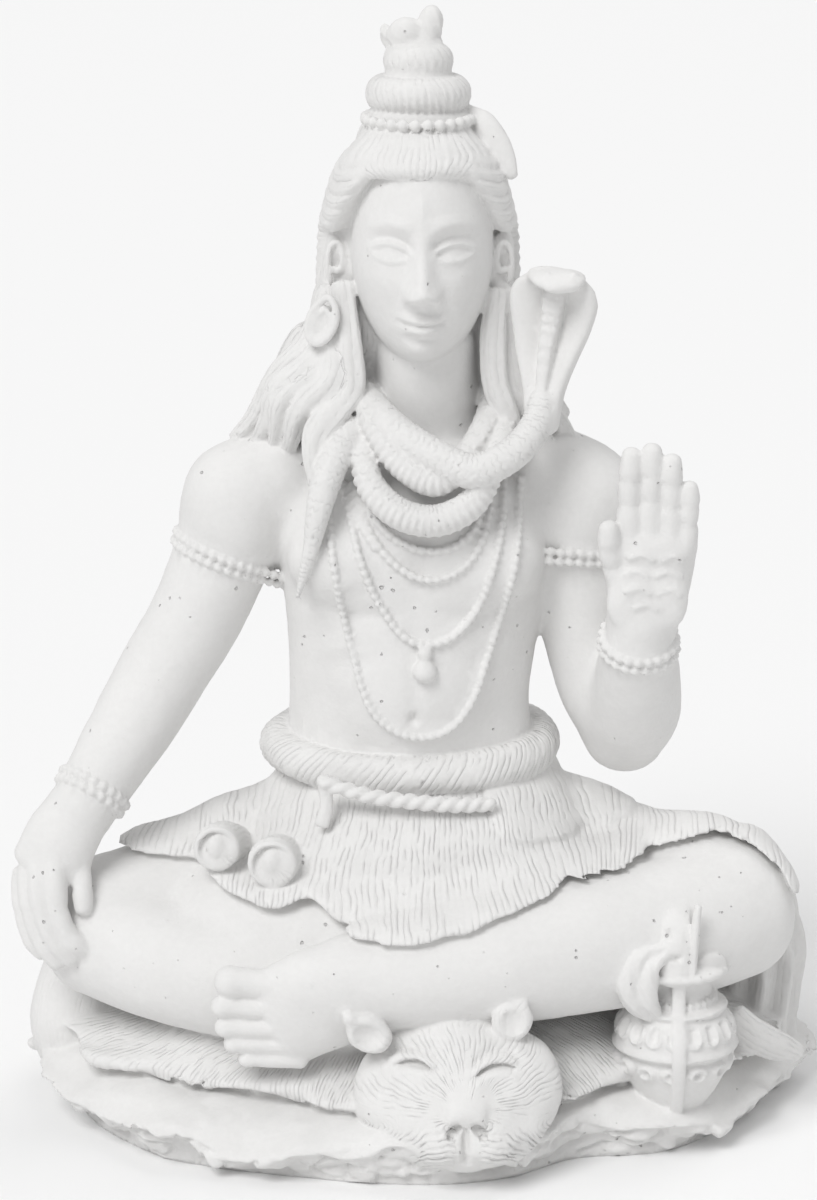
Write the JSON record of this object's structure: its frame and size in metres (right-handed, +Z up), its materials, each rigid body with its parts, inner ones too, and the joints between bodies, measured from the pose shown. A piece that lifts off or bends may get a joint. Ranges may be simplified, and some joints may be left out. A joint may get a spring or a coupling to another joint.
{
  "type": "seated shiva figure",
  "caption": "Small white cast figure of Shiva seated cross-legged on a rock with a tiger skin, one palm raised, a cobra at the neck and a water pot beside the knee.",
  "frame": {"origin": "on the flat underside of the rock, below the figure's spine", "axes": "+Z up, the figure faces -Y, and its own left is +X"},
  "size_m": [0.1087, 0.0704, 0.1501],
  "materials": {
    "white_cast": "matte, with small pits and bubbles from casting"
  },
  "bodies": {
    "root": {"shiva_figure": "white_cast"}
  },
  "joints": []
}
